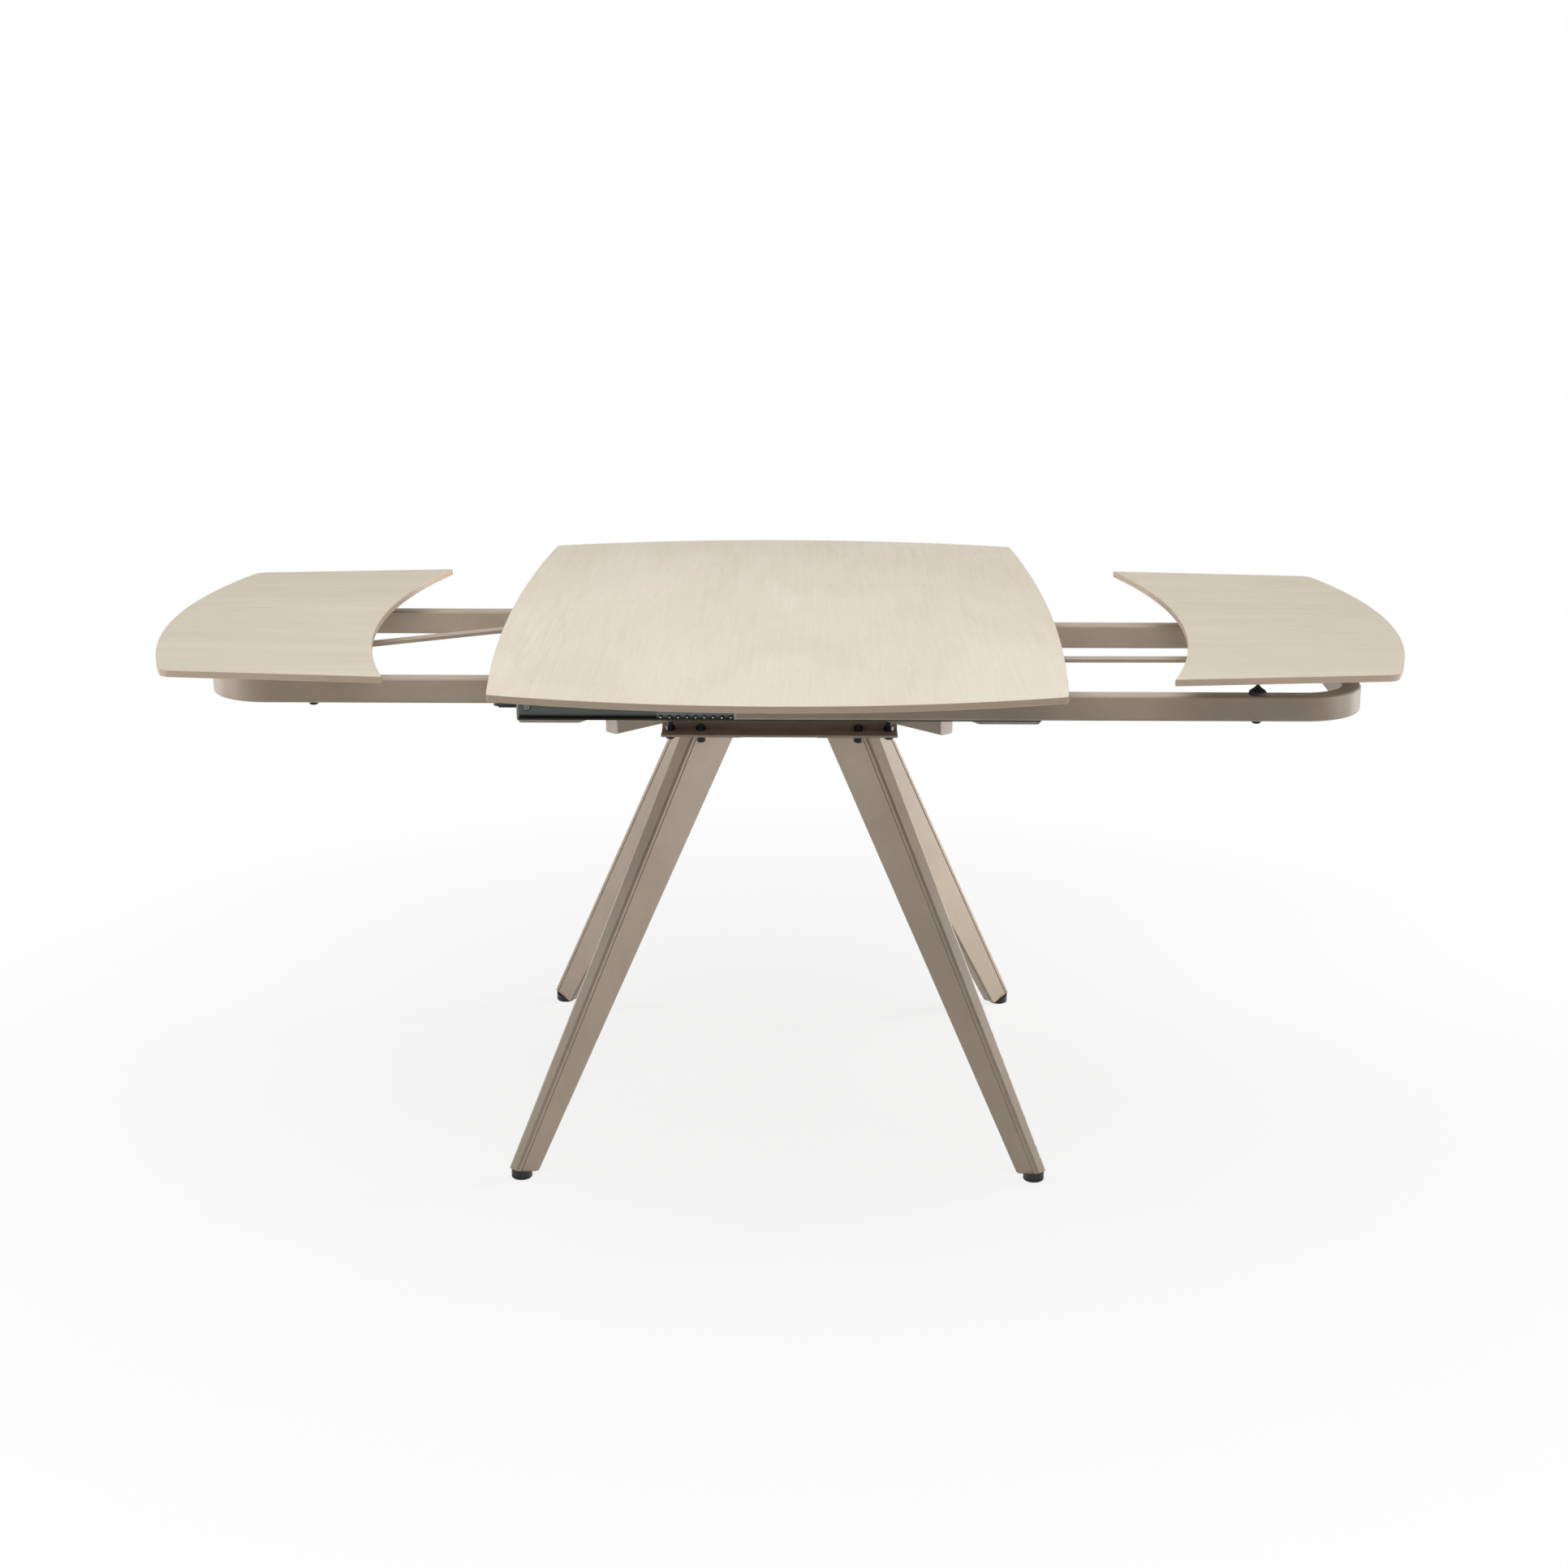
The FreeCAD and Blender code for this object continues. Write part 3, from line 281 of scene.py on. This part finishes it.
def slide_steel_in_shade(name, low, high):
    s = Surface(name)
    middle = (low + high) / 2
    reach = (high - low) / 2
    where = s.add("ShaderNodeSeparateXYZ")
    s.link(s.place(even(1.0)), where.inputs["Vector"])
    drawn = s.noise(DRAWN_ALONG_X, detail=3.0, roughness=0.6)
    ragged = s.maths("MULTIPLY", s.noise(RAGGED_ALONG_X, detail=3.0), GREASE_AND_SHADE_RAGGEDNESS)
    away = s.maths("ABSOLUTE", s.maths("SUBTRACT", where.outputs["Z"], middle))
    away = s.maths("ADD", away, ragged)
    # The dark band along both races: grease with painted shade, its edge made ragged by noise
    race = s.remap(away, (reach - GREASE_AND_SHADE_WIDTH, reach - GREASE_AND_SHADE_WIDTH / 2), WHOLE)
    steel = s.mix(drawn, linear(SLIDE_STEEL_IN_SHADE), linear(SLIDE_STEEL_IN_SHADE, STEEL_SHADE))
    s.shader.inputs["Metallic"].default_value = 0.8
    s.set(
        Base_Color=s.mix(race, steel, linear(GREASE_AND_SHADE)),
        Roughness=s.remap(drawn, WIDE, (0.34, 0.52)),
    )
    s.bump(drawn, distance=0.00004)
    return s.material


# Polished balls with a slight haze
BALL_SHADE = 0.93


def polished(name):
    s = Surface(name)
    haze = s.noise(even(900.0))
    s.shader.inputs["Metallic"].default_value = 1.0
    s.set(
        Base_Color=s.mix(haze, linear(BALL), linear(BALL, BALL_SHADE)),
        Roughness=s.remap(haze, WIDE, (0.08, 0.18)),
    )
    return s.material


# Moulded plastic: fine spark-erosion texture
MOULDED_SHADE = 0.92


def moulded(name, colour, rough, grain):
    s = Surface(name)
    spark = s.noise(even(grain), roughness=0.6)
    cloud = s.noise(even(40.0))
    s.set(
        Base_Color=s.mix(cloud, linear(colour), linear(colour, MOULDED_SHADE)),
        Roughness=s.remap(spark, WIDE, (rough - 0.06, rough + 0.08)),
    )
    s.bump(spark, distance=0.00008)
    return s.material


# Blackened bolts
OXIDE_SHADE = 0.7


def black_bolt(name):
    s = Surface(name)
    oxide = s.noise(even(300.0), detail=3.0, roughness=0.6)
    s.shader.inputs["Metallic"].default_value = 0.5
    s.set(
        Base_Color=s.mix(oxide, linear(BOLT), linear(BOLT, OXIDE_SHADE)),
        Roughness=s.remap(oxide, WIDE, (0.3, 0.48)),
    )
    s.bump(oxide, distance=0.00005)
    return s.material


slide_low, slide_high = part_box("right_outer_slide_channel")
# The slide channels and runners get the darker steel, with painted shade and the grease band in the races
SLIDE_IN_SHADE = slide_steel_in_shade("slide_steel_in_shade", slide_low.z, slide_high.z)
# The arm end caps get the lighter copy of the paint, which is painted light on their end faces
LIT_CAPS = paint("cap_lit_paint", CAP_LIT_PAINT, CAP_LIT_PAINT_SHADE)
MATERIALS = {
    "top_board": board("top_board", TOP_LIGHT, TOP_DARK, along="Y", streaks=0.18, veins=0.3),
    "leaf_board": board("leaf_board", LEAF_LIGHT, LEAF_DARK, along="X", streaks=0.4, veins=0.22),
    "paint": paint("paint", PAINT, PAINT_SHADE),
    "zinc": zinc("zinc"),
    "ball_steel": polished("ball_steel"),
    "black_plastic": moulded("black_plastic", BLACK, rough=0.5, grain=900.0),
    "black_bolt": black_bolt("black_bolt"),
    "pale_plastic": moulded("pale_plastic", PALE, rough=0.45, grain=700.0),
}

for entry in frame["record"]["subparts"]:
    mesh = nodes[entry["node"]].data
    surface = MATERIALS[entry["material_slot"]]
    if entry["node"].endswith(("_slide_channel", "_slide_runners")):
        surface = SLIDE_IN_SHADE
    elif entry["node"] == "cross_arm_caps":
        surface = LIT_CAPS
    mesh.materials.clear()
    mesh.materials.append(surface)


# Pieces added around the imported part
SHARP = math.radians(35.0)
MERGE_DISTANCE = 1e-6
TURNED_STEPS = 32


def piece(name, mesh_maker, body, slot, stands_for=()):
    mesh = bpy.data.meshes.new(name)
    shape = bmesh.new()
    mesh_maker(shape)
    bmesh.ops.recalc_face_normals(shape, faces=shape.faces)
    shape.to_mesh(mesh)
    shape.free()
    for face in mesh.polygons:
        face.use_smooth = True
    mesh.set_sharp_from_angle(angle=SHARP)
    made = bpy.data.objects.new(name, mesh)
    scene.collection.objects.link(made)
    mesh.materials.append(MATERIALS[slot])
    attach(made, body)
    if stands_for:
        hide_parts(*stands_for)


# Closed form between two outlines that have the same number of points
def between(shape, first, second):
    front = [shape.verts.new(point) for point in first]
    back = [shape.verts.new(point) for point in second]
    shape.faces.new(front)
    shape.faces.new(list(reversed(back)))
    for i in range(len(front)):
        shape.faces.new((front[i - 1], front[i], back[i], back[i - 1]))


def plate(shape, outline, lift):
    between(shape, outline, [point + lift for point in outline])


# Turned form on an upright axis, from pairs of radius and height
def turned(shape, outline, x, y):
    rings = []
    for radius, z in outline:
        count = TURNED_STEPS if radius else 1
        ring = []
        for i in range(count):
            angle = 2 * math.pi * i / count
            ring.append(shape.verts.new((x + radius * math.cos(angle), y + radius * math.sin(angle), z)))
        rings.append(ring)
    for lower, upper in zip(rings, rings[1:]):
        for i in range(TURNED_STEPS):
            if len(lower) == 1:
                corners = (lower[0], upper[i], upper[i - 1])
            elif len(upper) == 1:
                corners = (lower[i - 1], lower[i], upper[0])
            else:
                corners = (lower[i - 1], lower[i], upper[i], upper[i - 1])
            shape.faces.new(corners)


# Centres of the separate solids of a node
def centres(node):
    shape = bmesh.new()
    shape.from_mesh(nodes[node].data)
    bmesh.ops.remove_doubles(shape, verts=shape.verts, dist=MERGE_DISTANCE)
    waiting = set(shape.verts)
    found = []
    while waiting:
        group = [waiting.pop()]
        for vertex in group:
            for edge in vertex.link_edges:
                other = edge.other_vert(vertex)
                if other in waiting:
                    waiting.remove(other)
                    group.append(other)
        lows = [min(v.co[axis] for v in group) for axis in range(3)]
        highs = [max(v.co[axis] for v in group) for axis in range(3)]
        found.append(Vector((low + high) / 2 for low, high in zip(lows, highs)))
    shape.free()
    return found


# Rubber supports of the leaves: a rim, an ogee up to the stem and a cap under the leaf
SUPPORT_RADIUS = 0.0125
SUPPORT_STEM = 0.0027
SUPPORT_CAP = 0.011
SUPPORT_RIM = 0.003
SUPPORT_OGEE = 0.0105
SUPPORT_CAP_HEIGHT = 0.0025
SUPPORT_EDGE = 0.0005
OGEE_STEPS = 14


def leaf_supports(side):
    low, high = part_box(f"{side}_leaf_supports")
    cap_low = high.z - SUPPORT_CAP_HEIGHT
    outline = [
        (0.0, low.z),
        (SUPPORT_RADIUS - SUPPORT_EDGE, low.z),
        (SUPPORT_RADIUS, low.z + SUPPORT_EDGE),
    ]
    for i in range(OGEE_STEPS + 1):
        share = i / OGEE_STEPS
        radius = SUPPORT_STEM + (SUPPORT_RADIUS - SUPPORT_STEM) * (1 + math.cos(math.pi * share)) / 2
        outline.append((radius, low.z + SUPPORT_RIM + SUPPORT_OGEE * share))
    outline += [
        (SUPPORT_STEM, cap_low),
        (SUPPORT_CAP - SUPPORT_EDGE, cap_low),
        (SUPPORT_CAP, cap_low + SUPPORT_EDGE),
        (SUPPORT_CAP, high.z),
        (0.0, high.z),
    ]

    def fill(shape):
        for spot in centres(f"{side}_leaf_supports"):
            turned(shape, outline, spot.x, spot.y)

    piece(f"{side}_leaf_bumpers", fill, f"{side}_frame", "black_plastic", [f"{side}_leaf_supports"])


# Ball cages of the slides: strips with a window over each ball, and the balls in the races
BALL_RADIUS = 0.0021
BALL_PITCH = 0.0125
BALL_DEPTH = 0.004
BALL_SINK = 0.00045
BALL_SEGMENTS = 12
BALL_RINGS = 8
CAGE_WALL = 0.001
CAGE_FLANGE = 0.0036
WINDOW_RADIUS = 0.0032
POCKET_RADIUS = 0.0024
WINDOW_STEPS = 8


def notches(spots, radius, outside):
    half = math.acos(outside / radius)
    points = []
    for spot in spots:
        for i in range(WINDOW_STEPS + 1):
            turn = half * (2 * i / WINDOW_STEPS - 1)
            points.append((spot + radius * math.sin(turn), radius * math.cos(turn) - outside))
    return points


def slide_cage(side, sign):
    low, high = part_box(f"{side}_slide_cages")
    count = int((high.x - low.x) / BALL_PITCH)
    start = (low.x + high.x - (count - 1) * BALL_PITCH) / 2
    spots = [start + i * BALL_PITCH for i in range(count)]
    near = low.y if sign > 0 else high.y
    far = high.y if sign > 0 else low.y
    webs = (near + sign * CAGE_FLANGE, far)
    ends = ((low.x, 0.0), (high.x, 0.0))
    windows = [ends[0], *notches(spots, WINDOW_RADIUS, 0.0), ends[1]]
    pockets = [ends[0], *notches(spots, POCKET_RADIUS, BALL_DEPTH - CAGE_FLANGE), ends[1]]

    def strips(shape):
        for web in webs:
            lower = [Vector((x, web, low.z + CAGE_WALL + inward)) for x, inward in windows]
            upper = [Vector((x, web, high.z - CAGE_WALL - inward)) for x, inward in reversed(windows)]
            plate(shape, lower + upper, Vector((0.0, -sign * CAGE_WALL, 0.0)))
            for z in (low.z, high.z - CAGE_WALL):
                tip = [Vector((x, web - sign * (CAGE_FLANGE - inward), z)) for x, inward in pockets]
                back = [Vector((high.x, web, z)), Vector((low.x, web, z))]
                plate(shape, tip + back, Vector((0.0, 0.0, CAGE_WALL)))

    def balls(shape):
        for web in webs:
            for z in (low.z + BALL_SINK, high.z - BALL_SINK):
                for x in spots:
                    bmesh.ops.create_uvsphere(
                        shape,
                        u_segments=BALL_SEGMENTS,
                        v_segments=BALL_RINGS,
                        radius=BALL_RADIUS,
                        matrix=Matrix.Translation((x, web - sign * BALL_DEPTH, z)),
                    )

    body = f"{side}_slide_cages"
    piece(f"{side}_ball_strips", strips, body, "zinc", [f"{side}_slide_cages"])
    piece(f"{side}_slide_balls", balls, body, "ball_steel")


# Stops pressed out of the channels near the end that the frame slides in to
STOP_INSET = 0.012
STOP_HALF_WIDTH = 0.006
STOP_HALF_HEIGHT = 0.011
STOP_CORNER = 0.004
STOP_RISE = 0.0032
STOP_SLOPE = 0.0016
CHANNEL_WALL = 0.0012
CORNER_STEPS = 5
CORNER_SIGNS = ((1, 1), (-1, 1), (-1, -1), (1, -1))


def rounded(shrink):
    half_width = STOP_HALF_WIDTH - shrink
    half_height = STOP_HALF_HEIGHT - shrink
    corner = STOP_CORNER - shrink
    points = []
    for quarter, (along, up) in enumerate(CORNER_SIGNS):
        for i in range(CORNER_STEPS + 1):
            turn = (quarter + i / CORNER_STEPS) * math.pi / 2
            across = along * (half_width - corner) + corner * math.cos(turn)
            points.append((across, up * (half_height - corner) + corner * math.sin(turn)))
    return points


def slide_stops(side, sign):
    def fill(shape):
        for place in ("outer", "inner"):
            low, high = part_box(f"{side}_{place}_slide_channel")
            x = low.x + STOP_INSET if sign > 0 else high.x - STOP_INSET
            z = (low.z + high.z) / 2
            web = high.y if sign > 0 else low.y
            foot_y = web - sign * CHANNEL_WALL
            crown_y = web - sign * (CHANNEL_WALL + STOP_RISE)
            foot = [(x + across, foot_y, z + up) for across, up in rounded(0.0)]
            crown = [(x + across, crown_y, z + up) for across, up in rounded(STOP_SLOPE)]
            between(shape, foot, crown)

    piece(f"{side}_slide_stops", fill, "base", "zinc")


for side, sign in (("right", 1), ("left", -1)):
    leaf_supports(side)
    slide_cage(side, sign)
    slide_stops(side, sign)

# Floor: white beyond the table, with the table's soft shadow under it
FLOOR_SIZE = 60.0
SHADOW_SHARE = 0.2
SHADOW_NEAR = 0.4
SHADOW_FAR = 1.7


def floor_material():
    s = Surface("floor")
    s.tree.nodes.remove(s.shader)
    matt = s.add("ShaderNodeBsdfDiffuse")
    matt.inputs["Color"].default_value = FLOOR_GREY
    glow = s.add("ShaderNodeEmission")
    glow.inputs["Color"].default_value = WHITE
    where = s.add("ShaderNodeTexCoord")
    distance = s.add("ShaderNodeVectorMath", operation="LENGTH")
    s.link(where.outputs["Object"], distance.inputs[0])
    reach = s.remap(distance.outputs["Value"], (SHADOW_NEAR, SHADOW_FAR), (1.0 - SHADOW_SHARE, 1.0))
    both = s.add("ShaderNodeMixShader")
    s.link(s.maths("MULTIPLY", s.seen_directly(), reach), both.inputs["Fac"])
    s.link(matt.outputs["BSDF"], both.inputs[1])
    s.link(glow.outputs["Emission"], both.inputs[2])
    s.link(both.outputs["Shader"], s.tree.nodes["Material Output"].inputs["Surface"])
    return s.material


floor_mesh = bpy.data.meshes.new("floor")
floor_shape = bmesh.new()
bmesh.ops.create_grid(floor_shape, x_segments=1, y_segments=1, size=FLOOR_SIZE / 2)
floor_shape.to_mesh(floor_mesh)
floor_shape.free()
floor_mesh.materials.append(floor_material())
floor = bpy.data.objects.new("floor", floor_mesh)
scene.collection.objects.link(floor)

# World: white where it is seen, softer where it lights the object
AMBIENT = 0.02
world = bpy.data.worlds.new("studio")
scene.world = world
world.use_nodes = True
sky = Tree(world.node_tree)
background = world.node_tree.nodes["Background"]
background.inputs["Color"].default_value = WHITE
sky.link(sky.remap(sky.seen_directly(), WHOLE, (AMBIENT, 1.0)), background.inputs["Strength"])


# Soft boxes: a place, the spot that each is aimed at, its two sides, its power and the angle of its grid
OPEN = 180.0


def soft_box(name, place, target, size, power, grid=OPEN):
    lamp = bpy.data.lights.new(name, "AREA")
    lamp.shape = "RECTANGLE"
    lamp.size, lamp.size_y = size
    lamp.energy = power
    lamp.spread = math.radians(grid)
    holder = bpy.data.objects.new(name, lamp)
    scene.collection.objects.link(holder)
    holder.visible_camera = False
    holder.location = place
    aim = Vector(target) - Vector(place)
    holder.rotation_mode = "QUATERNION"
    holder.rotation_quaternion = aim.to_track_quat("-Z", "Y")


SIDE_BOX = (1.6, 1.2)
LOW_BOX = (0.8, 0.5)
SMALL_BOX = (0.4, 0.25)
LOW_GRID = 45.0
BEND_GRID = 25.0
RAIL_GRID = 12.0
soft_box("overhead", place=(0.0, -0.6, 3.0), target=(0.0, -0.6, 0.0), size=(4.0, 3.0), power=71.0)
soft_box("front_top", place=(0.0, -1.8, 3.2), target=(0.0, -0.6, 0.4), size=(4.0, 2.5), power=13.0)
soft_box("front_fill", place=(0.0, -4.4, 2.8), target=(0.0, 0.0, 0.5), size=(2.5, 1.5), power=8.0)
soft_box("right_side", place=(3.2, 0.2, 0.7), target=(0.3, 0.0, 0.5), size=SIDE_BOX, power=2.8)
soft_box("left_side", place=(-3.2, -0.3, 0.8), target=(-0.3, 0.0, 0.5), size=SIDE_BOX, power=4.0)
soft_box("right_low", (2.1, 0.85, 0.35), (0.2, 0.2, 0.25), LOW_BOX, power=5.0, grid=LOW_GRID)
soft_box("left_low", (-2.1, 0.85, 0.35), (-0.2, 0.2, 0.25), LOW_BOX, power=2.4, grid=LOW_GRID)
soft_box("right_bend", (1.75, -0.5, 0.69), (0.8, -0.25, 0.685), SMALL_BOX, power=0.15, grid=BEND_GRID)
soft_box("left_bend", (-1.75, -0.5, 0.69), (-0.8, -0.2, 0.685), SMALL_BOX, power=0.19, grid=BEND_GRID)
soft_box("right_rail", (2.0, -0.35, 0.42), (0.46, 0.174, 0.69), SMALL_BOX, power=0.08, grid=RAIL_GRID)
soft_box("left_rail", (-2.0, -0.25, 0.42), (-0.5, 0.264, 0.69), SMALL_BOX, power=0.16, grid=RAIL_GRID)

# Camera
IMAGE_SIDE = 1932
FOCAL_PIXELS = 3298.47
SENSOR = 36.0
EYE = Vector((0.0338, -3.9577, 1.5971))
PITCH = math.radians(15.631)
YAW = math.radians(-0.4096)
ROLL = math.radians(-0.1189)
level_ahead = Vector((math.sin(YAW), math.cos(YAW), 0.0))
level_right = Vector((math.cos(YAW), -math.sin(YAW), 0.0))
ahead = level_ahead * math.cos(PITCH) - Vector((0.0, 0.0, math.sin(PITCH)))
level_down = ahead.cross(level_right)
right = level_right * math.cos(ROLL) + level_down * math.sin(ROLL)
down = level_down * math.cos(ROLL) - level_right * math.sin(ROLL)
lens = bpy.data.cameras.new("camera")
lens.sensor_width = SENSOR
lens.sensor_fit = "AUTO"
lens.lens = FOCAL_PIXELS / IMAGE_SIDE * SENSOR
camera = bpy.data.objects.new("camera", lens)
scene.collection.objects.link(camera)
axes = Matrix((right, -down, -ahead)).transposed()
camera.matrix_world = Matrix.Translation(EYE) @ axes.to_4x4()
scene.camera = camera
